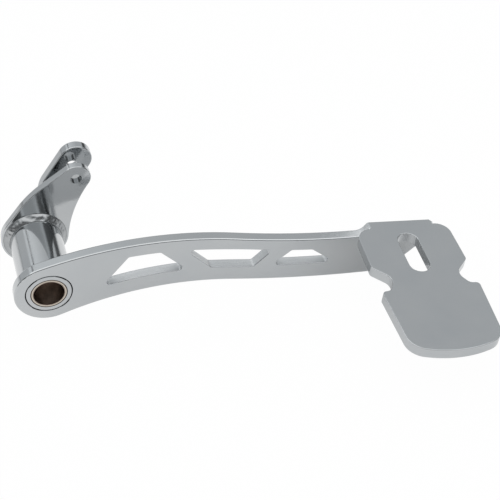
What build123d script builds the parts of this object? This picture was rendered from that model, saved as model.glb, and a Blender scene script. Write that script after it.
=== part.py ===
"""Rear brake pedal for a motorbike: a chrome-plated steel weldment, in millimetres.

The frame: the origin is where the pivot axis leaves the outer face of the arm.
+X runs forward along the arm to the foot plate, +Y inboard along the pivot axis,
+Z up. A flat plate arm stands on edge between the pivot eye and the foot plate. A
tube carries two bushes through the eye, and behind it a lever plate and a bent ear
form the clevis that pulls on the brake rod.
"""

import os
from math import atan2, cos, degrees, hypot, radians, sin, sqrt, tan

from build123d import *

# Pivot: the tube, its bushes and the shaft that they run on
BORE_DIAMETER = 19.05
BUSH_WALL = 1.9
BUSH_LENGTH = 20.0
BUSH_LEAD_IN = 0.5
BUSH_GROOVE = 0.35
TUBE_DIAMETER = 33.0
SPIGOT_DIAMETER = 28.6
SPIGOT_GROOVE = 0.5
EYE_TO_LEVER = 50.8

# Arm: one flat plate with an arched outline
ARM_THICKNESS = 7.0
ARM_EDGE_RADIUS = 1.0
EYE_DIAMETER = 42.5
CROWN_STATION = 47.0
CROWN_RADIUS = 240.0
CROWN_END = 118.0
SWEEP_RADIUS = 520.0
ARCH_STATION = 63.8
ARCH_RADIUS = 200.0
ARCH_END = 114.0
UNDERSWEEP_RADIUS = 700.0

# The arm's far end beside the foot plate: a ramp up to a land, and a nose cut away
RAMP_BEFORE_PLATE = 25.2
RAMP_LENGTH = 4.5
RAMP_FOOT_RADIUS = 6.0
RAMP_HEAD_RADIUS = 2.5
NOSE_PAST_PLATE = 21.8
NOSE_HEIGHT = 10.0
NOSE_SLOPE = 39.5
NOSE_CORNER_RADIUS = 2.5
HEEL_RADIUS = 12.0

# Relief on the arm's inner face beside the foot plate: it thins towards the nose
NOSE_THICKNESS = 4.4
NOSE_CUT_LENGTH = 2.0
NOSE_CUT_DEPTH = 3.2

# Windows in the arm: left and right station of the top edge and of the bottom edge
WINDOW_TOPS = [(50.3, 70.0), (85.4, 140.7), (153.4, 166.8)]
WINDOW_BOTTOMS = [(32.1, 85.8), (100.8, 128.4), (139.9, 181.8)]
RAIL_ABOVE = 8.8
RAILS_BELOW = [11.3, 11.3, 12.1]
WINDOW_CORNER_RADIUS = 2.2
WINDOW_EDGE_RADIUS = 0.4

# Foot plate: its top face leans forward and meets the arm's land
PLATE_THICKNESS = 7.0
PLATE_STATION = 225.2
PLATE_HEIGHT = 0.2
PLATE_TILT = 7.5
UPPER_HALF_WIDTH = 30.8
UPPER_CORNER_RADIUS = 9.4
WAIST_START = (31.6, 34.3)
WAIST_START_RADIUS = 2.8
WAIST = (20.7, 45.5)
WAIST_RADIUS = 7.4
SHOULDER = (26.1, 55.2)
SHOULDER_INNER_RADIUS = 4.6
LOWER_HALF_WIDTH = 32.0
LOWER_CORNER_RADIUS = 2.7
TOE_HALF_WIDTH = 30.0
PLATE_LENGTH = 108.4
TOE_RADIUS = 68.0
TOE_CORNER_RADIUS = 13.0
SLOT_WIDTH = 13.6
SLOT_LENGTH = 34.6
SLOT_START = 7.0
PLATE_EDGE_RADIUS = 0.4

# Clevis: lever plate in front, bent ear behind
CLEVIS_PLATE = 4.76
CLEVIS_GAP = 8.6
PIN_HOLE_DIAMETER = 7.1
PIN_STATION = 29.4
PIN_HEIGHT = 42.3
LEVER_BOSS_DIAMETER = 42.6
LEVER_EAR_RADIUS = 9.4
LEVER_FLANK_RADIUS = 90.0
LEVER_BACK_LEAN = 52.0
LEVER_BACK_CORNER = -1.0
LEVER_BACK_CORNER_RADIUS = 70.0
CLEVIS_EDGE_RADIUS = 0.6
BENT_EAR_THICKNESS = 6.0
BENT_EAR_WIDTH = 20.6
BENT_EAR_PAST_PIN = 14.6
BENT_EAR_FOOT_START = 15.0
BENT_EAR_FIRST_BEND = 23.5
BENT_EAR_SLOPE = 48.0
BEND_RADIUS = 6.0

# Weld beads, by leg length. Their skin bulges: this share of the leg at mid-skin.
TUBE_WELD_LEG = 3.5
EYE_WELD_LEG = 2.4
EAR_WELD_LEG = 2.4
PLATE_WELD_LEG = 4.0
PLATE_WELD_MARGIN = 2.5
BEAD_FULLNESS = 0.58

eye_radius = EYE_DIAMETER / 2
tube_radius = TUBE_DIAMETER / 2
bush_outer_radius = BORE_DIAMETER / 2 + BUSH_WALL
lever_front = EYE_TO_LEVER
lever_back = EYE_TO_LEVER + CLEVIS_PLATE
bent_ear_front = lever_back + CLEVIS_GAP
bent_ear_back = bent_ear_front + BENT_EAR_THICKNESS
ramp_foot_station = PLATE_STATION - RAMP_BEFORE_PLATE
nose_station = PLATE_STATION + NOSE_PAST_PLATE
boss_radius = LEVER_BOSS_DIAMETER / 2

# Each edge of the arm is an arc that leaves the eye tangentially and a second arc
# that bends the other way. The centres follow from the tangencies.
crown_centre = (CROWN_STATION, -sqrt((CROWN_RADIUS - eye_radius) ** 2 - CROWN_STATION**2))
arch_centre = (ARCH_STATION, -sqrt((ARCH_RADIUS + eye_radius) ** 2 - ARCH_STATION**2))


def height_on_arc(centre, radius, station):
    """Height of the upper side of a circle at a station along the arm."""
    return centre[1] + sqrt(radius**2 - (station - centre[0]) ** 2)


def counter_centre(centre, radius, station, next_radius):
    """Centre of the arc that carries on from a circle, bending the other way."""
    height = height_on_arc(centre, radius, station)
    reach = (radius + next_radius) / radius
    return (centre[0] + (station - centre[0]) * reach, centre[1] + (height - centre[1]) * reach)


sweep_centre = counter_centre(crown_centre, CROWN_RADIUS, CROWN_END, SWEEP_RADIUS)
undersweep_centre = counter_centre(arch_centre, ARCH_RADIUS, ARCH_END, UNDERSWEEP_RADIUS)


def arm_top(station):
    """Height of the arm's top edge."""
    if station <= CROWN_END:
        return height_on_arc(crown_centre, CROWN_RADIUS, station)
    return sweep_centre[1] - sqrt(SWEEP_RADIUS**2 - (station - sweep_centre[0]) ** 2)


def arm_bottom(station):
    """Height of the arm's bottom edge."""
    if station <= ARCH_END:
        return height_on_arc(arch_centre, ARCH_RADIUS, station)
    reach = station - undersweep_centre[0]
    return undersweep_centre[1] - sqrt(UNDERSWEEP_RADIUS**2 - reach**2)


def land_height(station):
    """Height of the foot plate's top face, which the arm's land is flush with."""
    return PLATE_HEIGHT - (station - PLATE_STATION) * tan(radians(PLATE_TILT))


def edge_point(edge, station, shift=0.0):
    """Point on an edge of the arm, moved up by a shift."""
    return (station, edge(station) + shift)


def edge_arc(edge, start, end, shift=0.0):
    """Arc along an edge of the arm between two stations on the same circle."""
    middle = edge_point(edge, (start + end) / 2, shift)
    return ThreePointArc(edge_point(edge, start, shift), middle, edge_point(edge, end, shift))


# The nose: a sloping cut from its lower corner back to the bottom edge
nose_top = (nose_station, land_height(nose_station))
nose_bottom = (nose_station, nose_top[1] - NOSE_HEIGHT)
HEEL_STEPS = 12
heel_station = nose_station
for step in range(HEEL_STEPS):
    drop = nose_bottom[1] - arm_bottom(heel_station)
    heel_station = nose_station - drop / tan(radians(NOSE_SLOPE))

ramp_foot = edge_point(arm_top, ramp_foot_station)
ramp_head_station = ramp_foot_station + RAMP_LENGTH
ramp_head = edge_point(land_height, ramp_head_station)


# Arm: the outline, the eye with its hole for the tube's spigot, and three windows
with BuildPart() as arm:
    crown_share = eye_radius / (CROWN_RADIUS - eye_radius)
    crown_start = (-crown_centre[0] * crown_share, -crown_centre[1] * crown_share)
    arch_share = eye_radius / (ARCH_RADIUS + eye_radius)
    arch_start = (arch_centre[0] * arch_share, arch_centre[1] * arch_share)
    heel = edge_point(arm_bottom, heel_station)
    with BuildSketch(Plane.XZ.offset(-ARM_THICKNESS)) as arm_outline:
        with BuildLine():
            edge_arc(arm_top, crown_start[0], CROWN_END)
            edge_arc(arm_top, CROWN_END, ramp_foot_station)
            Polyline(ramp_foot, ramp_head, nose_top, nose_bottom, heel)
            edge_arc(arm_bottom, heel_station, ARCH_END)
            edge_arc(arm_bottom, ARCH_END, arch_start[0])
            ThreePointArc(arch_start, (-eye_radius, 0), crown_start)
        make_face()
        rounded_corners = [
            (ramp_foot, RAMP_FOOT_RADIUS),
            (ramp_head, RAMP_HEAD_RADIUS),
            (nose_bottom, NOSE_CORNER_RADIUS),
            (heel, HEEL_RADIUS),
        ]
        for corner, radius in rounded_corners:
            fillet(arm_outline.vertices().sort_by_distance(corner)[0], radius)
    extrude(amount=ARM_THICKNESS)
    with BuildSketch(Plane.XY):
        with BuildLine():
            Polyline(
                (ramp_foot_station, ARM_THICKNESS),
                (nose_station - NOSE_CUT_LENGTH, NOSE_THICKNESS),
                (nose_station, NOSE_THICKNESS - NOSE_CUT_DEPTH),
                (nose_station, ARM_THICKNESS),
                close=True,
            )
        make_face()
    extrude(amount=EYE_DIAMETER, both=True, mode=Mode.SUBTRACT)
    front_rim = arm.faces().sort_by(Axis.Y)[0].edges()
    inner_faces = arm.faces().filter_by(lambda f: f.normal_at().Y > 0.9)
    # The upright lines at the two ends of the relief stay as they are cut.
    back_rim = inner_faces.edges().filter_by(Axis.Z, reverse=True)
    fillet(back_rim + front_rim, ARM_EDGE_RADIUS)
    with BuildSketch(Plane.XZ.offset(-ARM_THICKNESS)) as windows:
        for top, bottom, rail_below in zip(WINDOW_TOPS, WINDOW_BOTTOMS, RAILS_BELOW):
            top_left = edge_point(arm_top, top[0], -RAIL_ABOVE)
            top_middle = edge_point(arm_top, (top[0] + top[1]) / 2, -RAIL_ABOVE)
            top_right = edge_point(arm_top, top[1], -RAIL_ABOVE)
            bottom_left = edge_point(arm_bottom, bottom[0], rail_below)
            bottom_middle = edge_point(arm_bottom, (bottom[0] + bottom[1]) / 2, rail_below)
            bottom_right = edge_point(arm_bottom, bottom[1], rail_below)
            with BuildLine():
                ThreePointArc(top_left, top_middle, top_right)
                Line(top_right, bottom_right)
                ThreePointArc(bottom_right, bottom_middle, bottom_left)
                Line(bottom_left, top_left)
            make_face()
        fillet(windows.vertices(), WINDOW_CORNER_RADIUS)
    extrude(amount=ARM_THICKNESS, mode=Mode.SUBTRACT)
    window_rims = arm.edges(Select.LAST).filter_by(Axis.Y, reverse=True)
    fillet(window_rims, WINDOW_EDGE_RADIUS)
    with BuildSketch(Plane.XZ.offset(-ARM_THICKNESS)):
        Circle(SPIGOT_DIAMETER / 2)
    extrude(amount=ARM_THICKNESS, mode=Mode.SUBTRACT)
    eye_rims = arm.edges(Select.LAST).filter_by(GeomType.CIRCLE).sort_by(Axis.Y)
    chamfer(eye_rims[0], SPIGOT_GROOVE)
arm.part.label = "arm"


# Pivot tube: a spigot fills the eye, and its shoulder rests on the arm's inner face.
# A fine groove runs between the two where they meet in the outer face.
with BuildPart() as pivot_tube:
    with BuildSketch(Plane.XY):
        with BuildLine():
            Polyline(
                (bush_outer_radius, 0),
                (SPIGOT_DIAMETER / 2 - SPIGOT_GROOVE, 0),
                (SPIGOT_DIAMETER / 2, SPIGOT_GROOVE),
                (SPIGOT_DIAMETER / 2, ARM_THICKNESS),
                (tube_radius, ARM_THICKNESS),
                (tube_radius, lever_back),
                (bush_outer_radius, lever_back),
                close=True,
            )
        make_face()
    revolve(axis=Axis.Y)
pivot_tube.part.label = "pivot_tube"


def make_bush(mouth, inner_end):
    """A plain bush, pressed in from the mouth. Its leading edge has a lead-in."""
    bore_radius = BORE_DIAMETER / 2
    with BuildPart() as bush:
        with BuildSketch(Plane.XY):
            with BuildLine():
                Polyline(
                    (bore_radius, mouth),
                    (bush_outer_radius, mouth),
                    (bush_outer_radius, inner_end),
                    (bore_radius, inner_end),
                    close=True,
                )
            make_face()
        revolve(axis=Axis.Y)
        outer_rims = bush.edges().filter_by(GeomType.CIRCLE).group_by(SortBy.RADIUS)[-1]
        leading_rim, mouth_rim = outer_rims.sort_by(lambda rim: abs(rim.center().Y - inner_end))
        chamfer(leading_rim, BUSH_LEAD_IN)
        chamfer(mouth_rim, BUSH_GROOVE)
    return bush.part


front_bush = make_bush(0, BUSH_LENGTH)
front_bush.label = "front_bush"
rear_bush = make_bush(lever_back, lever_back - BUSH_LENGTH)
rear_bush.label = "rear_bush"


# Lever plate: a boss round the tube and an ear round the pin hole, joined by flanks
pin_centre = (PIN_STATION, PIN_HEIGHT)
pin_distance = hypot(*pin_centre)
ear_direction = (PIN_STATION / pin_distance, PIN_HEIGHT / pin_distance)


def polar_point(centre, radius, angle):
    """Point on a circle at an angle in degrees."""
    return (centre[0] + radius * cos(radians(angle)), centre[1] + radius * sin(radians(angle)))


def point_towards(centre, radius, target):
    """Point on a circle in the direction of another point."""
    direction = degrees(atan2(target[1] - centre[1], target[0] - centre[0]))
    return polar_point(centre, radius, direction)


def ear_frame_point(along, across):
    """Point given by its distance along the ear's centre line and to its upper side."""
    return (
        ear_direction[0] * along - ear_direction[1] * across,
        ear_direction[1] * along + ear_direction[0] * across,
    )


# The hollow front flank touches the boss and the ear from outside
flank_to_boss = LEVER_FLANK_RADIUS + boss_radius
flank_to_ear = LEVER_FLANK_RADIUS + LEVER_EAR_RADIUS
flank_along = (flank_to_boss**2 - flank_to_ear**2 + pin_distance**2) / (2 * pin_distance)
flank_centre = ear_frame_point(flank_along, -sqrt(flank_to_boss**2 - flank_along**2))
flank_at_boss = point_towards((0, 0), boss_radius, flank_centre)
flank_at_ear = point_towards(pin_centre, LEVER_EAR_RADIUS, flank_centre)
flank_middle_target = ((flank_at_boss[0] + flank_at_ear[0]) / 2, (flank_at_boss[1] + flank_at_ear[1]) / 2)
flank_middle = point_towards(flank_centre, LEVER_FLANK_RADIUS, flank_middle_target)

# The back edge leaves the boss straight, turns once and runs on to the ear
back_start = polar_point((0, 0), boss_radius, LEVER_BACK_LEAN + 90)
back_rise = (LEVER_BACK_CORNER - back_start[0]) * tan(radians(LEVER_BACK_LEAN))
back_corner = (LEVER_BACK_CORNER, back_start[1] + back_rise)
corner_to_pin = (pin_centre[0] - back_corner[0], pin_centre[1] - back_corner[1])
back_turn = degrees(atan2(corner_to_pin[1], corner_to_pin[0]) + LEVER_EAR_RADIUS / hypot(*corner_to_pin))
back_at_ear = polar_point(pin_centre, LEVER_EAR_RADIUS, back_turn + 90)

with BuildPart() as lever_plate:
    with BuildSketch(Plane.XZ.offset(-lever_back)) as lever_outline:
        with BuildLine():
            Polyline(back_start, back_corner, back_at_ear)
            ThreePointArc(
                back_at_ear,
                ear_frame_point(pin_distance + LEVER_EAR_RADIUS, 0),
                flank_at_ear,
            )
            ThreePointArc(flank_at_ear, flank_middle, flank_at_boss)
            ThreePointArc(flank_at_boss, ear_frame_point(-boss_radius, 0), back_start)
        make_face()
        turn = lever_outline.vertices().sort_by_distance(back_corner)[0]
        fillet(turn, LEVER_BACK_CORNER_RADIUS)
    extrude(amount=CLEVIS_PLATE)
    fillet(lever_plate.edges().filter_by(Axis.Y, reverse=True), CLEVIS_EDGE_RADIUS)
    with BuildSketch(Plane.XZ.offset(-lever_back)):
        Circle(tube_radius)
        with Locations(pin_centre):
            Circle(PIN_HOLE_DIAMETER / 2)
    extrude(amount=CLEVIS_PLATE, mode=Mode.SUBTRACT)
lever_plate.part.label = "lever_plate"


# Bent ear: a strap that lies on the lever plate, steps away by the clevis gap and
# runs on parallel to it. The bent strip is cut to a round end.
strap_end = pin_distance + BENT_EAR_PAST_PIN
strap_half_width = BENT_EAR_WIDTH / 2
second_bend = BENT_EAR_FIRST_BEND + CLEVIS_GAP / tan(radians(BENT_EAR_SLOPE))
along_ear = Vector(ear_direction[0], 0, ear_direction[1])
strap_side = Plane(origin=(0, 0, 0), x_dir=along_ear, z_dir=along_ear.cross(Vector(0, 1, 0)))
strap_face = Plane(origin=(0, lever_back, 0), x_dir=along_ear, z_dir=(0, -1, 0))

with BuildPart() as bent_ear:
    with BuildSketch(strap_side):
        with BuildLine():
            FilletPolyline(
                (BENT_EAR_FOOT_START, lever_back + BENT_EAR_THICKNESS / 2),
                (BENT_EAR_FIRST_BEND, lever_back + BENT_EAR_THICKNESS / 2),
                (second_bend, bent_ear_front + BENT_EAR_THICKNESS / 2),
                (strap_end, bent_ear_front + BENT_EAR_THICKNESS / 2),
                radius=BEND_RADIUS,
            )
        trace(line_width=BENT_EAR_THICKNESS)
    extrude(amount=strap_half_width, both=True)
    with BuildSketch(strap_face):
        with BuildLine():
            Polyline(
                (strap_end - strap_half_width, strap_half_width),
                (BENT_EAR_FOOT_START, strap_half_width),
                (BENT_EAR_FOOT_START, -strap_half_width),
                (strap_end - strap_half_width, -strap_half_width),
            )
            ThreePointArc(
                (strap_end - strap_half_width, -strap_half_width),
                (strap_end, 0),
                (strap_end - strap_half_width, strap_half_width),
            )
        make_face()
    extrude(amount=-(bent_ear_back - lever_back), mode=Mode.INTERSECT)
    level_faces = bent_ear.faces().filter_by(Axis.Y).sort_by(Axis.Y)[-2:]
    level_rims = level_faces.edges()
    # The lines where the flat end runs into the bend have no edge to round.
    straight_rims = level_rims.filter_by(lambda e: abs(e.tangent_at(0).dot(along_ear)) > 0.9)
    fillet(straight_rims + level_rims.filter_by(GeomType.CIRCLE), CLEVIS_EDGE_RADIUS)
    with BuildSketch(strap_face):
        with Locations((pin_distance, 0)):
            Circle(PIN_HOLE_DIAMETER / 2)
    extrude(amount=-(bent_ear_back - lever_back), mode=Mode.SUBTRACT)
bent_ear.part.label = "bent_ear"


# Foot plate: drawn on its own leaning plane, with one half mirrored about its centre
# line. Its inner edge stands against the arm's outer face.
plate_plane = Plane(
    origin=(PLATE_STATION, 0, PLATE_HEIGHT),
    x_dir=(cos(radians(PLATE_TILT)), 0, -sin(radians(PLATE_TILT))),
    z_dir=(sin(radians(PLATE_TILT)), 0, cos(radians(PLATE_TILT))),
)
toe_centre = (0, TOE_RADIUS - PLATE_LENGTH)
toe_corner = (TOE_HALF_WIDTH, toe_centre[1] - sqrt(TOE_RADIUS**2 - TOE_HALF_WIDTH**2))
toe_middle = (TOE_HALF_WIDTH / 2, toe_centre[1] - sqrt(TOE_RADIUS**2 - TOE_HALF_WIDTH**2 / 4))
plate_corners = [
    ((UPPER_HALF_WIDTH, 0), UPPER_CORNER_RADIUS),
    ((WAIST_START[0], -WAIST_START[1]), WAIST_START_RADIUS),
    ((WAIST[0], -WAIST[1]), WAIST_RADIUS),
    ((SHOULDER[0], -SHOULDER[1]), SHOULDER_INNER_RADIUS),
    ((LOWER_HALF_WIDTH, -SHOULDER[1]), LOWER_CORNER_RADIUS),
    (toe_corner, TOE_CORNER_RADIUS),
]

with BuildPart() as foot_plate:
    with BuildSketch(plate_plane.offset(-PLATE_THICKNESS)) as plate_outline:
        with BuildLine():
            Polyline((0, 0), *[corner for corner, radius in plate_corners])
            ThreePointArc(toe_corner, toe_middle, (0, -PLATE_LENGTH))
            Line((0, -PLATE_LENGTH), (0, 0))
        make_face()
        for corner, radius in plate_corners:
            fillet(plate_outline.vertices().sort_by_distance(corner)[0], radius)
        mirror(about=Plane.YZ)
        with Locations((0, -SLOT_START - SLOT_LENGTH / 2)):
            SlotOverall(SLOT_LENGTH, SLOT_WIDTH, rotation=90, mode=Mode.SUBTRACT)
    extrude(amount=PLATE_THICKNESS)
    plate_rims = foot_plate.edges().filter_by(lambda e: abs(e.tangent_at(0).dot(plate_plane.z_dir)) < 0.5)
    fillet(plate_rims, PLATE_EDGE_RADIUS)
foot_plate.part.label = "foot_plate"


# Weld beads. The two round ones are fillets turned about the pivot axis.
def make_ring_weld(wall, leg, back_towards_arm):
    """A slightly full fillet bead round the tube, in the corner with a wall."""
    rise = -leg if back_towards_arm else leg
    full = BEAD_FULLNESS * leg
    with BuildPart() as ring:
        with BuildSketch(Plane.XY):
            with BuildLine():
                Polyline((tube_radius, wall + rise), (tube_radius, wall), (tube_radius + leg, wall))
                ThreePointArc(
                    (tube_radius + leg, wall),
                    (tube_radius + full, wall + rise * full / leg),
                    (tube_radius, wall + rise),
                )
            make_face()
        revolve(axis=Axis.Y)
    return ring.part


lever_weld = make_ring_weld(lever_front, TUBE_WELD_LEG, back_towards_arm=True)
lever_weld.label = "lever_weld"
eye_weld = make_ring_weld(ARM_THICKNESS, EYE_WELD_LEG, back_towards_arm=False)
eye_weld.label = "eye_weld"

# The bead round the bent ear's foot, on three sides of it
foot_flat_end = BENT_EAR_FIRST_BEND - BEND_RADIUS * tan(radians(BENT_EAR_SLOPE / 2))
with BuildPart() as ear_weld:
    with BuildSketch(strap_face):
        with Locations(((BENT_EAR_FOOT_START + foot_flat_end) / 2, 0)):
            bead_length = foot_flat_end - BENT_EAR_FOOT_START + 2 * EAR_WELD_LEG
            Rectangle(bead_length, BENT_EAR_WIDTH + 2 * EAR_WELD_LEG)
    extrude(amount=-EAR_WELD_LEG, taper=45)
    split(bisect_by=strap_side.rotated((0, 90, 0)).offset(foot_flat_end), keep=Keep.BOTTOM)
    add(bent_ear.part, mode=Mode.SUBTRACT)
ear_weld.part.label = "ear_weld"

# The bead along the arm under the foot plate
inner_edge_half = UPPER_HALF_WIDTH - UPPER_CORNER_RADIUS
weld_half_length = inner_edge_half - PLATE_WELD_MARGIN
weld_section = Plane(
    origin=plate_plane.from_local_coords(Vector(-weld_half_length, 0, -PLATE_THICKNESS)),
    x_dir=(0, -1, 0),
    z_dir=plate_plane.x_dir,
)
with BuildPart() as plate_weld:
    with BuildSketch(weld_section):
        with BuildLine():
            full = BEAD_FULLNESS * PLATE_WELD_LEG
            Polyline((PLATE_WELD_LEG, 0), (0, 0), (0, PLATE_WELD_LEG))
            ThreePointArc((0, PLATE_WELD_LEG), (full, full), (PLATE_WELD_LEG, 0))
        make_face()
    extrude(amount=2 * weld_half_length)
plate_weld.part.label = "plate_weld"


os.makedirs("parts", exist_ok=True)
pieces = [
    arm.part,
    pivot_tube.part,
    front_bush,
    rear_bush,
    lever_plate.part,
    bent_ear.part,
    foot_plate.part,
    lever_weld,
    eye_weld,
    ear_weld.part,
    plate_weld.part,
]
for piece in pieces:
    export_step(piece, f"parts/{piece.label}.step")
    print(f"{piece.label}: {piece.volume / 1000:.2f} cm3")
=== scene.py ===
# %% [markdown]
# # A rear brake pedal in chrome
#
# The pedal is a small steel weldment: an arm cut from plate, a tube with two bronze
# bushes, a clevis for the brake rod and a flat plate for the boot. Everything but the
# bushes is chrome plated. The solids come from the CAD model and stay as they are, in
# metres, with the origin where the pivot axis leaves the arm's outer face. What is
# added here is what the eye sees: the studio, the finish of each surface and the
# ripples of the weld beads.

# %% Load the frame
import math

import bmesh
import bpy
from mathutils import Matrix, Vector


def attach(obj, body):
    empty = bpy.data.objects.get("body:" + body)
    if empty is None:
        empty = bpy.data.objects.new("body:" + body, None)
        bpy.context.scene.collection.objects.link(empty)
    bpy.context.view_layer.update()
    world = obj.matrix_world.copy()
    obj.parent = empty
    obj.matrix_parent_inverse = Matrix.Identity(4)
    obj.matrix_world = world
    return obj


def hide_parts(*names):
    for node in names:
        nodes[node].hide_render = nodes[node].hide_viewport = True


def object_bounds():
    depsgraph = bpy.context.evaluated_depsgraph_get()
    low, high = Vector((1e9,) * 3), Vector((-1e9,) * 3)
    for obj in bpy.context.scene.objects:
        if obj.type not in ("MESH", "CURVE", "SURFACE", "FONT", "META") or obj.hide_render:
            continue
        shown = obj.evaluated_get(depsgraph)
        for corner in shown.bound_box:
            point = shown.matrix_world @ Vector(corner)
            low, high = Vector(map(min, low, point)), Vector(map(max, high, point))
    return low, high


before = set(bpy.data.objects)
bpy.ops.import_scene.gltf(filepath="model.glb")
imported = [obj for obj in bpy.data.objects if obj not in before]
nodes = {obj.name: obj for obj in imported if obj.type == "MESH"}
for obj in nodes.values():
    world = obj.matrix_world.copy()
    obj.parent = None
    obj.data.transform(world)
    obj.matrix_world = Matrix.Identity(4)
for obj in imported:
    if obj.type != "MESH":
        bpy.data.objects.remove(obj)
cad_low, cad_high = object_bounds()
print("CAD box", [round(v, 4) for v in cad_low], [round(v, 4) for v in cad_high])

scene = bpy.context.scene
scene.view_settings.view_transform = "Standard"

# %% [markdown]
# ## The camera
#
# A product picture like this one is taken from well back with a long lens, so that
# parallel edges stay nearly parallel. The camera looks down at about 44 degrees and a
# little from the left. It is placed by its aim, its two angles and its distance,
# because those are the things that a photographer would write down.

# %% Camera
CAMERA_AIM = Vector((0.12219, -0.01416, 0.01888))
CAMERA_TURN = math.radians(15.26)
CAMERA_DOWN = math.radians(44.40)
CAMERA_DISTANCE = 0.908
CAMERA_LENS = 108.0


def direction(turn, rise):
    """Unit vector at an angle from +Y towards +X, and a rise above the horizon."""
    level = math.cos(rise)
    return Vector((math.sin(turn) * level, math.cos(turn) * level, math.sin(rise)))


def link(obj):
    """Puts a new object into the scene and gives it back."""
    scene.collection.objects.link(obj)
    return obj


look = direction(CAMERA_TURN, -CAMERA_DOWN)
camera_data = bpy.data.cameras.new("camera")
camera_data.lens = CAMERA_LENS
camera_data.clip_start = 0.01
camera_data.clip_end = 20.0
camera = link(bpy.data.objects.new("camera", camera_data))
camera.location = CAMERA_AIM - look * CAMERA_DISTANCE
camera.rotation_euler = look.to_track_quat("-Z", "Y").to_euler()
scene.camera = camera
print("camera at", [round(v, 3) for v in camera.location])

# %% [markdown]
# ## Helpers for node trees
#
# Materials, the room and the weld beads are all node trees. A tree written out node by
# node is long, so a few small helpers do the repeated work. They add a node with its
# inputs filled, do a step of arithmetic, turn a value into a share between 0 and 1,
# make a ramp of colours or greys, and blend two colours.

# %% Node helpers
def add_node(tree, kind, inputs=None, **settings):
    """A new node with its settings made, and a value or a socket put on its inputs."""
    node = tree.nodes.new(kind)
    for key, value in settings.items():
        setattr(node, key, value)
    for key, value in (inputs or {}).items():
        if isinstance(value, bpy.types.NodeSocket):
            tree.links.new(value, node.inputs[key])
        else:
            node.inputs[key].default_value = value
    return node


def maths(tree, operation, first, second=0.0, third=0.0):
    """One step of arithmetic. Gives the socket with the answer."""
    inputs = {0: first, 1: second, 2: third}
    return add_node(tree, "ShaderNodeMath", inputs, operation=operation).outputs[0]


def share(tree, value, start, end):
    """A number that runs from 0 to 1 while a value runs from start to end."""
    return add_node(tree, "ShaderNodeMapRange", {"Value": value, 1: start, 2: end}).outputs[0]


def ramp(tree, factor, stops):
    """A colour ramp from pairs of a place and a colour. Gives the colour socket."""
    node = add_node(tree, "ShaderNodeValToRGB", {"Fac": factor})
    elements = node.color_ramp.elements
    while len(elements) < len(stops):
        elements.new(0.5)
    for element, (place, colour) in zip(elements, stops):
        element.position = place
        element.color = (*colour, 1.0)
    return node.outputs["Color"]


def grey_ramp(tree, factor, stops):
    """A ramp of plain greys from pairs of a place and a tone."""
    return ramp(tree, factor, [(place, (tone, tone, tone)) for place, tone in stops])


def blend(tree, amount, first, second):
    """A mix of two colours. Gives the colour socket."""
    node = add_node(tree, "ShaderNodeMix", {0: amount, 6: first, 7: second}, data_type="RGBA")
    return node.outputs[2]


def new_material(name):
    """A material with an empty node tree."""
    material = bpy.data.materials.new(name)
    material.use_nodes = True
    material.node_tree.nodes.clear()
    return material


# %% [markdown]
# ## The studio
#
# Chrome has no colour of its own to speak of: it shows its surroundings. So the
# studio is really part of the finish. The white floor lies just below the pedal, the
# walls are grey, and a broad soft box hangs overhead. A face that looks up shows the
# wall behind the pedal, and a face that looks forward shows the floor in front of it.
# A rounded edge runs through both and shows a bright and a dark line.
#
# The floor has two looks. The camera sees it glow white, with a trace of its lit paper,
# which keeps the shadow. The metal sees more of the paper, and a glow that is weak on
# a spot in front of the pedal, strong round that spot and gone far away. The paper
# itself is painted as a pool of light, lighter round the pedal and darker far off.
# One plain white for both would fill every face that looks at the floor with a flat white.

# %% Floor
FLOOR_DROP = 0.004
FLOOR_SIZE = 6.0
GLOW_TO_CAMERA = 0.98
# The paper's tones are a painted pool of light: light near the pedal, darker far off.
PAPER_LIGHT_POOL_TONES = [(0.0, 0.95), (0.14, 0.95), (0.22, 0.80), (0.60, 0.62), (1.0, 0.60)]
GLOW_IN_METAL = [(0.0, 0.20), (0.04, 0.20), (0.07, 0.90), (0.14, 0.90), (0.22, 0.10), (1.0, 0.0)]
DIM_SPOT = (0.14, -0.11)
WHITE = (1.0, 1.0, 1.0, 1.0)

floor_height = cad_low.z - FLOOR_DROP
floor_material = new_material("studio_floor")
tree = floor_material.node_tree
spot = add_node(tree, "ShaderNodeTexCoord").outputs["Object"]
reach = {0: spot, 1: (*DIM_SPOT, floor_height)}
reach = add_node(tree, "ShaderNodeVectorMath", reach, operation="DISTANCE").outputs["Value"]
reach = maths(tree, "DIVIDE", reach, FLOOR_SIZE / 2)
paper = add_node(tree, "ShaderNodeBsdfDiffuse", {"Color": grey_ramp(tree, reach, PAPER_LIGHT_POOL_TONES)})
white = add_node(tree, "ShaderNodeEmission", {"Color": WHITE, "Strength": 1.0})
rays = add_node(tree, "ShaderNodeLightPath").outputs
mirrored = maths(tree, "MAXIMUM", rays["Is Glossy Ray"], rays["Is Transmission Ray"])
glow = maths(tree, "MULTIPLY", mirrored, grey_ramp(tree, reach, GLOW_IN_METAL))
glow = maths(tree, "MULTIPLY_ADD", rays["Is Camera Ray"], GLOW_TO_CAMERA, glow)
floor_look = add_node(tree, "ShaderNodeMixShader", {0: glow, 1: paper.outputs[0], 2: white.outputs[0]})
add_node(tree, "ShaderNodeOutputMaterial", {"Surface": floor_look.outputs[0]})

signs = [(-1, -1), (1, -1), (1, 1), (-1, 1)]
corners = [(x * FLOOR_SIZE / 2, y * FLOOR_SIZE / 2, floor_height) for x, y in signs]
floor_mesh = bpy.data.meshes.new("studio_floor")
floor_mesh.from_pydata(corners, [], [(0, 1, 2, 3)])
floor_mesh.materials.append(floor_material)
floor = link(bpy.data.objects.new("studio_floor", floor_mesh))
print("floor at", round(floor_height, 3))

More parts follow.
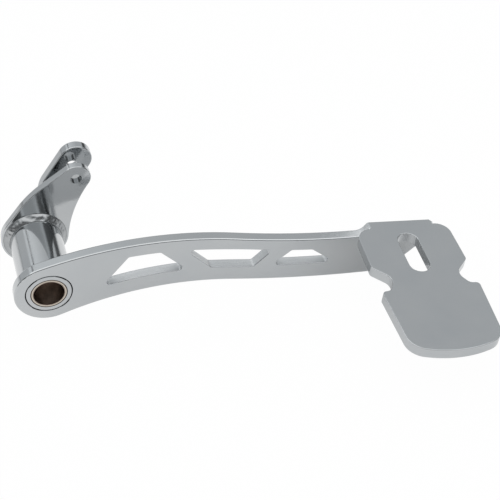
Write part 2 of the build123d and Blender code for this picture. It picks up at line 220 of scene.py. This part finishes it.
# %% [markdown]
# The room is a world shader that knows only the direction of a ray. Real walls would
# show the same in the chrome, but from some sides they would stand before the camera.
# The room has three parts. The wall on the left is the lighter one and has a dark joint line.
# The wall on the right has a dark foot where it meets the floor. The side behind the
# photographer is dark up to eye level, with one strip of light above it. All three
# fade high up, where the soft box takes over. Each part is a ramp over the height of
# the ray, and the ramps are blended by its compass direction.

# %% Room
LEFT_WALL = [
    (0.0, 0.60), (0.42, 0.60), (0.45, 0.86), (0.53, 0.86), (0.54, 0.10),
    (0.558, 0.10), (0.568, 0.86), (0.74, 0.86), (0.82, 0.25), (1.0, 0.25),
]
RIGHT_WALL = [
    (0.0, 0.30), (0.02, 0.10), (0.20, 0.10), (0.25, 0.62), (0.74, 0.62), (0.82, 0.25), (1.0, 0.25),
]
CAMERA_SIDE = [
    (0.0, 0.08), (0.50, 0.18), (0.53, 0.92), (0.58, 0.92),
    (0.61, 0.62), (0.74, 0.64), (0.80, 0.25), (1.0, 0.25),
]
LEFT_TO_RIGHT = (-0.25, 0.34)
BACK_TO_FRONT = (0.12, -0.12)


def cool_grey(level):
    """A grey with the faint cool cast of daylight lamps."""
    return (level * 0.968, level, level * 1.02)


world = bpy.data.worlds.new("studio_room")
scene.world = world
world.use_nodes = True
tree = world.node_tree
tree.nodes.clear()
ray = add_node(tree, "ShaderNodeTexCoord").outputs["Generated"]
ray = add_node(tree, "ShaderNodeSeparateXYZ", {0: ray}).outputs
parts = []
for stops in (LEFT_WALL, RIGHT_WALL, CAMERA_SIDE):
    parts.append(ramp(tree, ray["Z"], [(place, cool_grey(tone)) for place, tone in stops]))
walls = blend(tree, share(tree, ray["X"], *LEFT_TO_RIGHT), parts[0], parts[1])
room_tone = blend(tree, share(tree, ray["Y"], *BACK_TO_FRONT), walls, parts[2])
seen = add_node(tree, "ShaderNodeLightPath").outputs["Is Camera Ray"]
room_tone = blend(tree, seen, room_tone, WHITE)
room = add_node(tree, "ShaderNodeBackground", {"Color": room_tone, "Strength": 1.0})
add_node(tree, "ShaderNodeOutputWorld", {"Surface": room.outputs[0]})
print("room with", len(parts), "parts")

# %% [markdown]
# One broad soft box overhead gives the soft shadow on the floor and the bright line
# on the rounded edges. Its power follows from its area and its brightness, so that it
# can be resized freely and still look the same in the chrome.

# %% Soft box
def soft_box(name, location, aim, width, depth, brightness):
    """A flat lamp that faces a point and looks equally bright at any size."""
    data = bpy.data.lights.new(name, "AREA")
    data.shape = "RECTANGLE"
    data.size = width
    data.size_y = depth
    data.energy = brightness * math.pi * width * depth
    lamp = link(bpy.data.objects.new(name, data))
    lamp.location = location
    lamp.rotation_euler = (aim - Vector(location)).to_track_quat("-Z", "Y").to_euler()
    return lamp


centre = (cad_low + cad_high) / 2
overhead = soft_box("overhead_box", (0.12, 0.0, 1.5), centre, width=3.0, depth=2.2, brightness=1.02)
print("overhead box", round(overhead.data.energy, 1), "W")

# %% [markdown]
# ## The weld beads
#
# A hand-laid weld is a row of overlapping puddles. Each one freezes with a curved
# front, so the bead looks like a stack of coins pushed over. The CAD model has the
# plain bead, as large as the real one. Here each bead is laid again as Geometry
# Nodes: a rounded section is swept along the joint, and the skin is then lifted by a
# wave that runs along the bead and bows in its middle. No hand keeps an even pace, so
# a slow noise says where the waves are clear and where lumps take their place. Size,
# pitch, height and unevenness are inputs of the one tree, so the four beads share it.

# %% Weld bead tree
def new_tree(name, inputs, outputs, kind="GeometryNodeTree"):
    """A node group with its sockets made. Gives the tree, its input and its output node."""
    tree = bpy.data.node_groups.new(name, kind)
    for label, socket_type in inputs:
        tree.interface.new_socket(label, in_out="INPUT", socket_type=socket_type)
    for label, socket_type in outputs:
        tree.interface.new_socket(label, in_out="OUTPUT", socket_type=socket_type)
    return tree, tree.nodes.new("NodeGroupInput").outputs, tree.nodes.new("NodeGroupOutput").inputs


bead_inputs = [
    ("Joint", "NodeSocketGeometry"),
    ("Leg", "NodeSocketFloat"),
    ("Step", "NodeSocketFloat"),
    ("Ripple pitch", "NodeSocketFloat"),
    ("Ripple height", "NodeSocketFloat"),
    ("Unevenness", "NodeSocketFloat"),
    ("Seed", "NodeSocketFloat"),
    ("Finish", "NodeSocketMaterial"),
]
bead_tree, given, result = new_tree("weld_bead", bead_inputs, [("Bead", "NodeSocketGeometry")])
print("weld bead tree with", len(bead_inputs), "inputs")

# %% [markdown]
# A sweep needs a line to follow and, at each point of it, a direction that says how
# the section is turned. The line comes from the mesh of the joint and is cut into even
# steps. The direction is the one of the wall, which is stored on the points of that
# mesh. How far a point lies along the line is kept as well, to count the ripples by.

# %% Line of the joint
line = add_node(bead_tree, "GeometryNodeMeshToCurve", {"Mesh": given["Joint"]}).outputs[0]
even = {"Curve": line, "Length": given["Step"]}
line = add_node(bead_tree, "GeometryNodeResampleCurve", even, mode="LENGTH")
wall = add_node(bead_tree, "GeometryNodeInputNamedAttribute", {"Name": "wall"}, data_type="FLOAT_VECTOR")
wall_side = {"Curve": line.outputs[0], "Normal": wall.outputs["Attribute"]}
line = add_node(bead_tree, "GeometryNodeSetCurveNormal", wall_side, mode="FREE").outputs[0]

run = add_node(bead_tree, "GeometryNodeCaptureAttribute", {"Geometry": line})
run.capture_items.new("FLOAT", "run")
travelled = bead_tree.nodes.new("GeometryNodeSplineParameter").outputs["Length"]
bead_tree.links.new(travelled, run.inputs[1])
print("line of the joint,", len(bead_tree.nodes), "nodes so far")

# %% [markdown]
# The section of such a weld is a corner with a bulging skin opposite it. It could be
# drawn by hand. Here the points of a plain circle are moved to their places by
# arithmetic instead, so that one number sets the size of the bead.

# %% Section of the bead
SECTION_POINTS = 16
SECTION_SWELL = 1.12


def combine(tree, x, y, z=0.0):
    """A vector from three numbers."""
    return add_node(tree, "ShaderNodeCombineXYZ", {0: x, 1: y, 2: z}).outputs[0]


# Point 0 is the corner of the joint, the others are the skin of the bead.
index = bead_tree.nodes.new("GeometryNodeInputIndex").outputs[0]
across = maths(bead_tree, "DIVIDE", maths(bead_tree, "SUBTRACT", index, 1.0), SECTION_POINTS - 2.0)
across = maths(bead_tree, "MAXIMUM", across, 0.0)
back = maths(bead_tree, "SUBTRACT", 1.0, across)
swell = maths(bead_tree, "MULTIPLY", maths(bead_tree, "MULTIPLY", across, back), SECTION_SWELL)
on_skin = maths(bead_tree, "MINIMUM", index, 1.0)
leg = maths(bead_tree, "MULTIPLY", given["Leg"], on_skin)
section_x = maths(bead_tree, "MULTIPLY", leg, maths(bead_tree, "MULTIPLY_ADD", back, back, swell))
section_y = maths(bead_tree, "MULTIPLY", leg, maths(bead_tree, "MULTIPLY_ADD", across, across, swell))
section = add_node(bead_tree, "GeometryNodeCurvePrimitiveCircle", {"Resolution": SECTION_POINTS}).outputs[0]
place = {"Geometry": section, "Position": combine(bead_tree, section_x, section_y)}
section = add_node(bead_tree, "GeometryNodeSetPosition", place).outputs[0]
skin = add_node(bead_tree, "GeometryNodeCaptureAttribute", {"Geometry": section})
skin.capture_items.new("FLOAT", "skin")
bead_tree.links.new(maths(bead_tree, "MULTIPLY", across, on_skin), skin.inputs[1])
print("section with", SECTION_POINTS, "points")

# %% [markdown]
# Each puddle is one arch of a sine that has lost its sign. The crown is a value that is
# 1 in the middle of the skin and 0 at both toes. It bows the waves, and it lets them
# run out at the toes, so that the bead stays joined to both plates.

# %% Puddles of the bead
LUMP_SCALE = 200.0
CARE_SCALE = 75.0
CARE_RANGE = (0.36, 0.60)
MOST_LUMPS = 1.25
WAVE_BOW = 0.45
WAVE_WANDER = 0.6
WAVE_MIDDLE = 0.6

crown = maths(bead_tree, "SUBTRACT", 1.0, skin.outputs[1])
crown = maths(bead_tree, "MULTIPLY", maths(bead_tree, "MULTIPLY", crown, skin.outputs[1]), 4.0)
spot = bead_tree.nodes.new("GeometryNodeInputPosition").outputs[0]
seeded = {"Vector": spot, "W": given["Seed"], "Detail": 1.0}
lumps = {**seeded, "Scale": LUMP_SCALE}
lumps = add_node(bead_tree, "ShaderNodeTexNoise", lumps, noise_dimensions="4D").outputs[0]
lumps = maths(bead_tree, "SUBTRACT", lumps, 0.5)
care = {**seeded, "Scale": CARE_SCALE}
care = add_node(bead_tree, "ShaderNodeTexNoise", care, noise_dimensions="4D").outputs[0]
care = share(bead_tree, care, *CARE_RANGE)
phase = maths(bead_tree, "DIVIDE", run.outputs[1], given["Ripple pitch"])
phase = maths(bead_tree, "MULTIPLY_ADD", crown, WAVE_BOW, phase)
phase = maths(bead_tree, "MULTIPLY_ADD", lumps, WAVE_WANDER, phase)
wave = maths(bead_tree, "SINE", maths(bead_tree, "MULTIPLY", phase, math.pi))
wave = maths(bead_tree, "SUBTRACT", maths(bead_tree, "ABSOLUTE", wave), WAVE_MIDDLE)
lift = maths(bead_tree, "MULTIPLY", maths(bead_tree, "MULTIPLY", wave, given["Ripple height"]), care)
lumps = maths(bead_tree, "MULTIPLY", lumps, maths(bead_tree, "SUBTRACT", MOST_LUMPS, care))
lift = maths(bead_tree, "MULTIPLY_ADD", lumps, given["Unevenness"], lift)
lift = maths(bead_tree, "MULTIPLY", lift, crown)
print("puddles,", len(bead_tree.nodes), "nodes so far")

# %% [markdown]
# Now the section runs along the line, and each point of the skin moves outwards by its
# lift. A bump in the material would be cheaper, but it would leave the outline smooth,
# and the ripples of a weld show against the light.

# %% Sweep the section
sweep = {"Curve": run.outputs[0], "Profile Curve": skin.outputs[0], "Fill Caps": True}
bead = add_node(bead_tree, "GeometryNodeCurveToMesh", sweep).outputs[0]
outwards = bead_tree.nodes.new("GeometryNodeInputNormal").outputs[0]
rise = add_node(bead_tree, "ShaderNodeVectorMath", {0: outwards, "Scale": lift}, operation="SCALE")
raised = {"Geometry": bead, "Offset": rise.outputs[0]}
bead = add_node(bead_tree, "GeometryNodeSetPosition", raised).outputs[0]
bead = add_node(bead_tree, "GeometryNodeSetShadeSmooth", {"Geometry": bead}).outputs[0]
bead = add_node(bead_tree, "GeometryNodeRealizeInstances", {"Geometry": bead}).outputs[0]
finished = {"Geometry": bead, "Material": given["Finish"]}
bead = add_node(bead_tree, "GeometryNodeSetMaterial", finished).outputs[0]
bead_tree.links.new(bead, result["Bead"])
print("weld bead tree with", len(bead_tree.nodes), "nodes")

# %% [markdown]
# ## The finishes
#
# Chrome plate is thin and copies the steel under it. Five things make it look real
# close up. The polish is not even, so its gloss drifts in soft clouds. The buffing
# wheel leaves hair-fine lines along the part. The polish never reaches into the
# corners, where the plating stays duller, and the corners get a painted shade. The
# joint of the tube and the arm's eye shows as a fine line of painted shade. The
# windows are too narrow for the wheel, so their walls stay satin, and they are painted
# lighter as a painted sheen. Each of these is one node group, and both kinds of chrome
# use them with their own values.

# %% Cloud group
def float_group(name, labels, output):
    """A group for materials with float inputs and one float output, as new_tree gives it."""
    inputs = [(label, "NodeSocketFloat") for label in labels]
    return new_tree(name, inputs, [(output, "NodeSocketFloat")], "ShaderNodeTree")


CLOUD_CONTRAST = (0.32, 0.68)

cloud_group, given, result = float_group("soft_clouds", ["Scale", "Low", "High"], "Value")
surface = add_node(cloud_group, "ShaderNodeTexCoord").outputs["Object"]
wisps = {"Vector": surface, "Scale": given["Scale"], "Detail": 3.0, "Roughness": 0.55}
wisps = add_node(cloud_group, "ShaderNodeTexNoise", wisps).outputs[0]
spread = {"Value": wisps, 1: CLOUD_CONTRAST[0], 2: CLOUD_CONTRAST[1], 3: given["Low"], 4: given["High"]}
spread = add_node(cloud_group, "ShaderNodeMapRange", spread).outputs[0]
cloud_group.links.new(spread, result["Value"])
print("clouds", len(cloud_group.nodes), "nodes")

# %% [markdown]
# The buffing lines are a noise drawn out along the part. A picture of scratches would
# do as well, but a noise has no seam and never repeats. A second, larger noise breaks
# the lines up into patches, because nobody presses evenly on the wheel.

# %% Buffing group
PATCH_SCALE = 45.0
PATCH_CONTRAST = (0.40, 0.62)

buff_group, given, result = float_group("buffing_lines", ["Along", "Across"], "Lines")
surface = add_node(buff_group, "ShaderNodeTexCoord").outputs["Object"]
stretch = combine(buff_group, given["Along"], given["Across"], given["Across"])
drawn_out = add_node(buff_group, "ShaderNodeVectorMath", {0: surface, 1: stretch}, operation="MULTIPLY")
hairs = {"Vector": drawn_out.outputs[0], "Scale": 1.0, "Detail": 2.0}
hairs = add_node(buff_group, "ShaderNodeTexNoise", hairs).outputs[0]
patches = {"Vector": surface, "Scale": PATCH_SCALE, "Detail": 1.0}
patches = add_node(buff_group, "ShaderNodeTexNoise", patches).outputs[0]
patches = share(buff_group, patches, *PATCH_CONTRAST)
buff_group.links.new(maths(buff_group, "MULTIPLY", hairs, patches), result["Lines"])
print("buffing", len(buff_group.nodes), "nodes")

# %% [markdown]
# Ambient occlusion looks round from a point and tells how much is hidden within a short
# reach. That is what keeps the wheel out of a corner, so it draws the dull places, and
# it also says where the painted shade goes. A mask painted by hand would not follow the
# shape when the shape changes.

# %% Corner group
CORNER_RANGE = (0.35, 0.95)


def walled_in(tree, reach):
    """How far a point is closed in by what lies within a reach, from 0 to 1."""
    sky = add_node(tree, "ShaderNodeAmbientOcclusion", {"Distance": reach}, samples=8)
    return maths(tree, "SUBTRACT", 1.0, sky.outputs["AO"])


corner_shade_group, given, result = float_group("corner_shade_and_dullness", ["Reach", "Amount"], "Mask")
closed = share(corner_shade_group, walled_in(corner_shade_group, given["Reach"]), *CORNER_RANGE)
corner_shade_group.links.new(maths(corner_shade_group, "MULTIPLY", closed, given["Amount"]), result["Mask"])
print("corners", len(corner_shade_group.nodes), "nodes")

# %% [markdown]
# The tube's spigot ends level with the arm's outer face, with a small groove between
# the two. The solids have the groove, but it is too fine to show the shade in it. So
# the shade is painted: a dark ring is drawn at the spigot's distance from the pivot
# axis, on the arm's outer side alone.

# %% Joint line group
LINE_EDGE = (0.00042, 0.00022)
LINE_FLOOR = (0.0001, 0.0)

joint_shade_group, given, result = float_group("joint_shade_line", ["Radius", "Depth"], "Mask")
place = add_node(joint_shade_group, "ShaderNodeTexCoord").outputs["Object"]
place = add_node(joint_shade_group, "ShaderNodeSeparateXYZ", {0: place}).outputs
flat = combine(joint_shade_group, place["X"], 0.0, place["Z"])
radius = add_node(joint_shade_group, "ShaderNodeVectorMath", {0: flat}, operation="LENGTH").outputs["Value"]
beside = maths(joint_shade_group, "ABSOLUTE", maths(joint_shade_group, "SUBTRACT", radius, given["Radius"]))
behind = maths(joint_shade_group, "SUBTRACT", place["Y"], given["Depth"])
near = share(joint_shade_group, beside, *LINE_EDGE)
in_front = share(joint_shade_group, behind, *LINE_FLOOR)
joint_shade_group.links.new(maths(joint_shade_group, "MULTIPLY", near, in_front), result["Mask"])
print("joint line", len(joint_shade_group.nodes), "nodes")

# %% [markdown]
# The walls of the windows are found by three signs together. They lie between the two
# faces of the arm, they face along it, and other parts of the arm stand around them,
# which ambient occlusion tells again. One material can then serve all the plating.

# %% Window group
WALL_MIDDLE = (0.46, 0.36)
WALL_FACING = (0.5, 0.2)
WALL_CLOSED = (0.01, 0.06)

window_group, given, result = float_group("window_walls", ["Thickness", "Reach"], "Mask")
place = add_node(window_group, "ShaderNodeTexCoord").outputs["Object"]
depth = add_node(window_group, "ShaderNodeSeparateXYZ", {0: place}).outputs["Y"]
depth = maths(window_group, "DIVIDE", depth, given["Thickness"])
middle = maths(window_group, "ABSOLUTE", maths(window_group, "SUBTRACT", depth, 0.5))
facing = add_node(window_group, "ShaderNodeNewGeometry").outputs["True Normal"]
facing = add_node(window_group, "ShaderNodeSeparateXYZ", {0: facing}).outputs["Y"]
across = share(window_group, maths(window_group, "ABSOLUTE", facing), *WALL_FACING)
walled = share(window_group, walled_in(window_group, given["Reach"]), *WALL_CLOSED)
inside = maths(window_group, "MULTIPLY", share(window_group, middle, *WALL_MIDDLE), across)
window_group.links.new(maths(window_group, "MULTIPLY", inside, walled), result["Mask"])
print("windows", len(window_group.nodes), "nodes")

# %% [markdown]
# Chromium reflects a little over half of the light and is faintly blue, so its base
# colour is a mid grey with metallic at 1. The material for the welds is the same
# plating over a rougher skin, so it takes the same groups with stronger values.

# %% Chrome
# The tone for corners is a painted shade, used where the chrome is closed in.
CORNER_SHADE_TONE = (0.16, 0.165, 0.17, 1.0)
# The tone for the eye's joint is a painted shade line.
JOINT_SHADE_TONE = (0.035, 0.035, 0.04, 1.0)
# The tone for window walls is a painted sheen, lighter than the plating.
WINDOW_SHEEN_TONE = (0.70, 0.715, 0.725, 1.0)
EYE_JOINT = {"Radius": 0.0143, "Depth": 0.0008}
ARM_WINDOWS = {"Thickness": 0.007, "Reach": 0.025}
LINE_ROUGHNESS = 0.05
CORNER_ROUGHNESS = 0.20
SATIN_ROUGHNESS = 0.42
LINE_RELIEF = 0.15


def use_group(tree, group, values):
    """A group placed in a material with its own values. Gives its first output."""
    node = add_node(tree, "ShaderNodeGroup", node_tree=group)
    for label, value in values.items():
        node.inputs[label].default_value = value
    return node.outputs[0]


def chrome(name, tones, gloss, peel, corner_reach):
    """Chrome plate. tones are its darkest and lightest, gloss its lowest and highest roughness."""
    material = new_material(name)
    tree = material.node_tree
    tone_drift = use_group(tree, cloud_group, {"Scale": 28.0, "Low": 0.0, "High": 1.0})
    haze = use_group(tree, cloud_group, {"Scale": 75.0, "Low": gloss[0], "High": gloss[1]})
    lines = use_group(tree, buff_group, {"Along": 90.0, "Across": 2600.0})
    corner = use_group(tree, corner_shade_group, {"Reach": corner_reach, "Amount": 0.9})
    skin = use_group(tree, cloud_group, {"Scale": 420.0, "Low": 0.0, "High": 1.0})
    tone = blend(tree, tone_drift, *tones)
    # Painted shade: corners closed in by nearby parts are darkened.
    tone = blend(tree, corner, tone, CORNER_SHADE_TONE)
    # Painted shade: a fine dark ring in the groove round the spigot.
    tone = blend(tree, use_group(tree, joint_shade_group, EYE_JOINT), tone, JOINT_SHADE_TONE)
    window = use_group(tree, window_group, ARM_WINDOWS)
    # Painted sheen: the window walls are painted lighter than the rest of the chrome.
    tone = blend(tree, window, tone, WINDOW_SHEEN_TONE)
    rough = maths(tree, "MULTIPLY_ADD", lines, LINE_ROUGHNESS, haze)
    rough = maths(tree, "MULTIPLY_ADD", corner, CORNER_ROUGHNESS, rough)
    rough = maths(tree, "MULTIPLY_ADD", window, SATIN_ROUGHNESS, rough)
    relief = maths(tree, "MULTIPLY_ADD", lines, LINE_RELIEF, skin)
    bump = add_node(tree, "ShaderNodeBump", {"Height": relief, "Strength": 1.0, "Distance": peel})
    shader = {"Base Color": tone, "Metallic": 1.0, "Roughness": rough, "Normal": bump.outputs[0]}
    shader = add_node(tree, "ShaderNodeBsdfPrincipled", shader)
    add_node(tree, "ShaderNodeOutputMaterial", {"Surface": shader.outputs[0]})
    return material


PLATE_TONES = [(0.515, 0.532, 0.545, 1.0), (0.545, 0.558, 0.565, 1.0)]
BEAD_TONES = [(0.36, 0.375, 0.385, 1.0), (0.44, 0.45, 0.455, 1.0)]
plate_chrome = chrome("polished_chrome", PLATE_TONES, gloss=(0.06, 0.115), peel=0.000004, corner_reach=0.004)
weld_chrome = chrome("bead_chrome", BEAD_TONES, gloss=(0.20, 0.32), peel=0.00002, corner_reach=0.003)
print(plate_chrome.name, weld_chrome.name)

# %% [markdown]
# The bushes are pressed bronze with oil in their pores. Their end faces are turned
# bright, which leaves fine rings round the axis. The bore is darker, with oil and with
# painted shade, and the outer rim, where the bush meets the tube, is a painted shade.
# All of it follows from where a point lies: its distance from the pivot axis draws the
# rings and the rim, and the way that it faces tells the end face from the bore.

# %% Bronze
RING_PITCH = 0.00022
RING_RELIEF = 0.3
RING_INNER = (0.0099, 0.0101)
RING_OUTER = (0.0107, 0.0108)
END_FACE = (0.3, 0.9)
PORE_SCALE = 2600.0
PORE_RANGE = (0.10, 0.30)
BRIGHT_TONES = [(0.45, 0.40, 0.34, 1.0), (0.64, 0.58, 0.50, 1.0)]
# The bore's tones are dark with oil and with painted shade.
OIL_AND_SHADE_TONES = [(0.24, 0.195, 0.165, 1.0), (0.42, 0.34, 0.29, 1.0)]
# The rim's tone is a painted shade where the bush meets the tube.
RIM_SHADE_TONE = (0.10, 0.075, 0.06, 1.0)

bush_bronze = new_material("bronze_oil_and_shade")
tree = bush_bronze.node_tree
surface = add_node(tree, "ShaderNodeTexCoord").outputs["Object"]
place = add_node(tree, "ShaderNodeSeparateXYZ", {0: surface}).outputs
square = maths(tree, "MULTIPLY", place["Z"], place["Z"])
square = maths(tree, "MULTIPLY_ADD", place["X"], place["X"], square)
radius = maths(tree, "SQRT", square)
rings = maths(tree, "SINE", maths(tree, "MULTIPLY", radius, 2 * math.pi / RING_PITCH))
facing = add_node(tree, "ShaderNodeNewGeometry").outputs["True Normal"]
facing = add_node(tree, "ShaderNodeSeparateXYZ", {0: facing}).outputs["Y"]
end_face = share(tree, maths(tree, "ABSOLUTE", facing), *END_FACE)
rim = share(tree, radius, *RING_OUTER)
bright_ring = maths(tree, "SUBTRACT", share(tree, radius, *RING_INNER), rim)
bright_ring = maths(tree, "MULTIPLY", end_face, bright_ring)
pores = add_node(tree, "ShaderNodeTexVoronoi", {"Vector": surface, "Scale": PORE_SCALE})
pores = share(tree, pores.outputs["Distance"], *PORE_RANGE)
oil = use_group(tree, cloud_group, {"Scale": 160.0, "Low": 0.0, "High": 1.0})
# Painted shade: the rim is near black, and the bore is dark with oil and with painted shade.
oil_and_shade = blend(tree, rim, blend(tree, oil, *OIL_AND_SHADE_TONES), RIM_SHADE_TONE)
tone = blend(tree, bright_ring, oil_and_shade, blend(tree, pores, *BRIGHT_TONES))
rough = use_group(tree, cloud_group, {"Scale": 240.0, "Low": 0.28, "High": 0.42})
relief = maths(tree, "MULTIPLY_ADD", rings, RING_RELIEF, pores)
bump = add_node(tree, "ShaderNodeBump", {"Height": relief, "Strength": 1.0, "Distance": 0.000004})
shader = {"Base Color": tone, "Metallic": 1.0, "Roughness": rough, "Normal": bump.outputs[0]}
shader = add_node(tree, "ShaderNodeBsdfPrincipled", shader)
add_node(tree, "ShaderNodeOutputMaterial", {"Surface": shader.outputs[0]})
print(bush_bronze.name, len(tree.nodes), "nodes")

# %% [markdown]
# The CAD pieces keep their own meshes. The two bushes take the bronze and all other
# pieces the chrome. The four plain welds make way for the beads that are laid below.

# %% Give the solids their finish
for name, node in nodes.items():
    finish = bush_bronze if name.endswith("_bush") else plate_chrome
    node.data.materials.clear()
    node.data.materials.append(finish)
print("finished", len(nodes), "solids")

# %% [markdown]
# ## Laying the beads
#
# A bead needs only the line of its joint and, at each point of it, the direction of
# one of the two walls that meet there. The two round joints are circles about the
# pivot axis. The strap's foot is welded on three sides, and the line turns each
# corner in a small arc. The foot plate is welded underneath, along the arm.

# %% Lay a bead
BEAD_STEP = 0.00028
MERGE_DISTANCE = 0.000001


def bead_sizes(leg, pitch, height, unevenness, seed):
    """The inputs of the weld bead tree that differ from bead to bead."""
    waves = {"Ripple pitch": pitch, "Ripple height": height}
    return {"Leg": leg, "Unevenness": unevenness, "Seed": seed, **waves}


def lay_bead(name, points, walls, closed, sizes):
    """Sweeps a weld bead along a joint and puts it in place of the plain one."""
    count = len(points)
    links = [(i, (i + 1) % count) for i in range(count if closed else count - 1)]
    joint = bpy.data.meshes.new(name + "_joint")
    joint.from_pydata(points, links, [])
    wall = joint.attributes.new("wall", "FLOAT_VECTOR", "POINT")
    for item, side in zip(wall.data, walls):
        item.vector = side
    carrier = link(bpy.data.objects.new(name + "_joint", joint))
    modifier = carrier.modifiers.new("bead", "NODES")
    modifier.node_group = bead_tree
    values = {"Step": BEAD_STEP, "Finish": weld_chrome, **sizes}
    for item in bead_tree.interface.items_tree:
        if item.name in values:
            modifier[item.identifier] = values[item.name]
    view = bpy.context.evaluated_depsgraph_get()
    mesh = bpy.data.meshes.new_from_object(carrier.evaluated_get(view))
    bpy.data.objects.remove(carrier)
    work = bmesh.new()
    work.from_mesh(mesh)
    bmesh.ops.remove_doubles(work, verts=work.verts, dist=MERGE_DISTANCE)
    bmesh.ops.recalc_face_normals(work, faces=work.faces)
    print(name, len(work.faces), "faces,", round(work.calc_volume() * 1e9), "mm3")
    work.to_mesh(mesh)
    work.free()
    mesh.name = name + "_bead"
    piece = link(bpy.data.objects.new(name + "_bead", mesh))
    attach(piece, "root")
    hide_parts(name)


# %% Round beads
TUBE_RADIUS = 0.0165
EYE_BACK = 0.007
LEVER_FRONT = 0.0508
LEVER_RIPPLES = 40
EYE_RIPPLES = 70
RING_POINTS = 240


def ring_joint(height, turn_sign):
    """Points round the tube at a place on its axis, and the directions away from it."""
    angles = [turn_sign * 2 * math.pi * i / RING_POINTS for i in range(RING_POINTS)]
    walls = [(math.cos(a), 0.0, math.sin(a)) for a in angles]
    points = [(x * TUBE_RADIUS, height, z * TUBE_RADIUS) for x, y, z in walls]
    return points, walls


around = 2 * math.pi * TUBE_RADIUS
pitch = around / LEVER_RIPPLES
lever_sizes = bead_sizes(leg=0.0035, pitch=pitch, height=0.00014, unevenness=0.0019, seed=1.0)
lay_bead("lever_weld", *ring_joint(LEVER_FRONT, -1), closed=True, sizes=lever_sizes)
pitch = around / EYE_RIPPLES
eye_sizes = bead_sizes(leg=0.0024, pitch=pitch, height=0.00014, unevenness=0.0006, seed=2.0)
lay_bead("eye_weld", *ring_joint(EYE_BACK, 1), closed=True, sizes=eye_sizes)

# %% Bead round the strap's foot
LEVER_BACK = 0.05556
FOOT_START = 0.015
FOOT_END = 0.02083
HALF_STRAP = 0.0103
TURN_RADIUS = 0.0008
TURN_STEPS = 8
pin = Vector((0.0294, 0.0, 0.0423))
along = pin.normalized()
upwards = Vector((-along.z, 0.0, along.x))


def strap_point(station, offset):
    """Point on the lever plate's back, by its place along the strap and across it."""
    return along * station + upwards * offset + Vector((0.0, LEVER_BACK, 0.0))


points = [strap_point(FOOT_END, HALF_STRAP)]
walls = [upwards]
for corner_sign, start_angle in ((1, 0.0), (-1, math.pi / 2)):
    for step in range(TURN_STEPS + 1):
        angle = start_angle + step / TURN_STEPS * math.pi / 2
        away = upwards * math.cos(angle) - along * math.sin(angle)
        station = FOOT_START + TURN_RADIUS
        offset = corner_sign * (HALF_STRAP - TURN_RADIUS)
        points.append(strap_point(station, offset) + away * TURN_RADIUS)
        walls.append(away)
points.append(strap_point(FOOT_END, -HALF_STRAP))
walls.append(-upwards)
ear_sizes = bead_sizes(leg=0.0024, pitch=0.0014, height=0.00014, unevenness=0.0006, seed=3.0)
lay_bead("ear_weld", points, walls, closed=False, sizes=ear_sizes)

# %% Bead under the foot plate
PLATE_TILT = math.radians(7.5)
PLATE_START = Vector((0.2252, 0.0, 0.0002))
PLATE_THICKNESS = 0.007
HALF_WELD = 0.0189
plate_along = Vector((math.cos(PLATE_TILT), 0.0, -math.sin(PLATE_TILT)))
plate_up = Vector((math.sin(PLATE_TILT), 0.0, math.cos(PLATE_TILT)))
middle = PLATE_START - plate_up * PLATE_THICKNESS
points = [middle - plate_along * HALF_WELD, middle + plate_along * HALF_WELD]
walls = [(0.0, -1.0, 0.0)] * 2
plate_sizes = bead_sizes(leg=0.004, pitch=0.0018, height=0.00022, unevenness=0.0008, seed=4.0)
lay_bead("plate_weld", points, walls, closed=False, sizes=plate_sizes)

# %% [markdown]
# The foot plate and the arm's land are ground flush after welding, so no line shows
# between them. The CAD edges there are rounded, which leaves a fine groove. A strip
# of weld metal fills it, level with both faces and in the same chrome.

# %% Ground seam
SEAM_START = -0.0206
SEAM_END = 0.0212
SEAM_SECTION = [(0.0004, 0.0), (-0.0010, 0.0), (-0.0003, -0.0009), (0.0, -0.0010), (0.0001, -0.0006)]


def ground_seam():
    """A filled groove along the joint of the foot plate and the arm."""
    work = bmesh.new()
    ends = []
    for reach in (SEAM_START, SEAM_END):
        base = PLATE_START + plate_along * reach
        section = [base + Vector((0.0, -out, 0.0)) + plate_up * up for out, up in SEAM_SECTION]
        ends.append([work.verts.new(corner) for corner in section])
    count = len(SEAM_SECTION)
    for i in range(count):
        work.faces.new((ends[0][i], ends[0][(i + 1) % count], ends[1][(i + 1) % count], ends[1][i]))
    work.faces.new(ends[0])
    work.faces.new(ends[1])
    bmesh.ops.recalc_face_normals(work, faces=work.faces)
    mesh = bpy.data.meshes.new("ground_seam")
    work.to_mesh(mesh)
    work.free()
    mesh.materials.append(plate_chrome)
    piece = link(bpy.data.objects.new("ground_seam", mesh))
    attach(piece, "root")
    return piece


seam = ground_seam()
print(seam.name, len(seam.data.polygons), "faces")
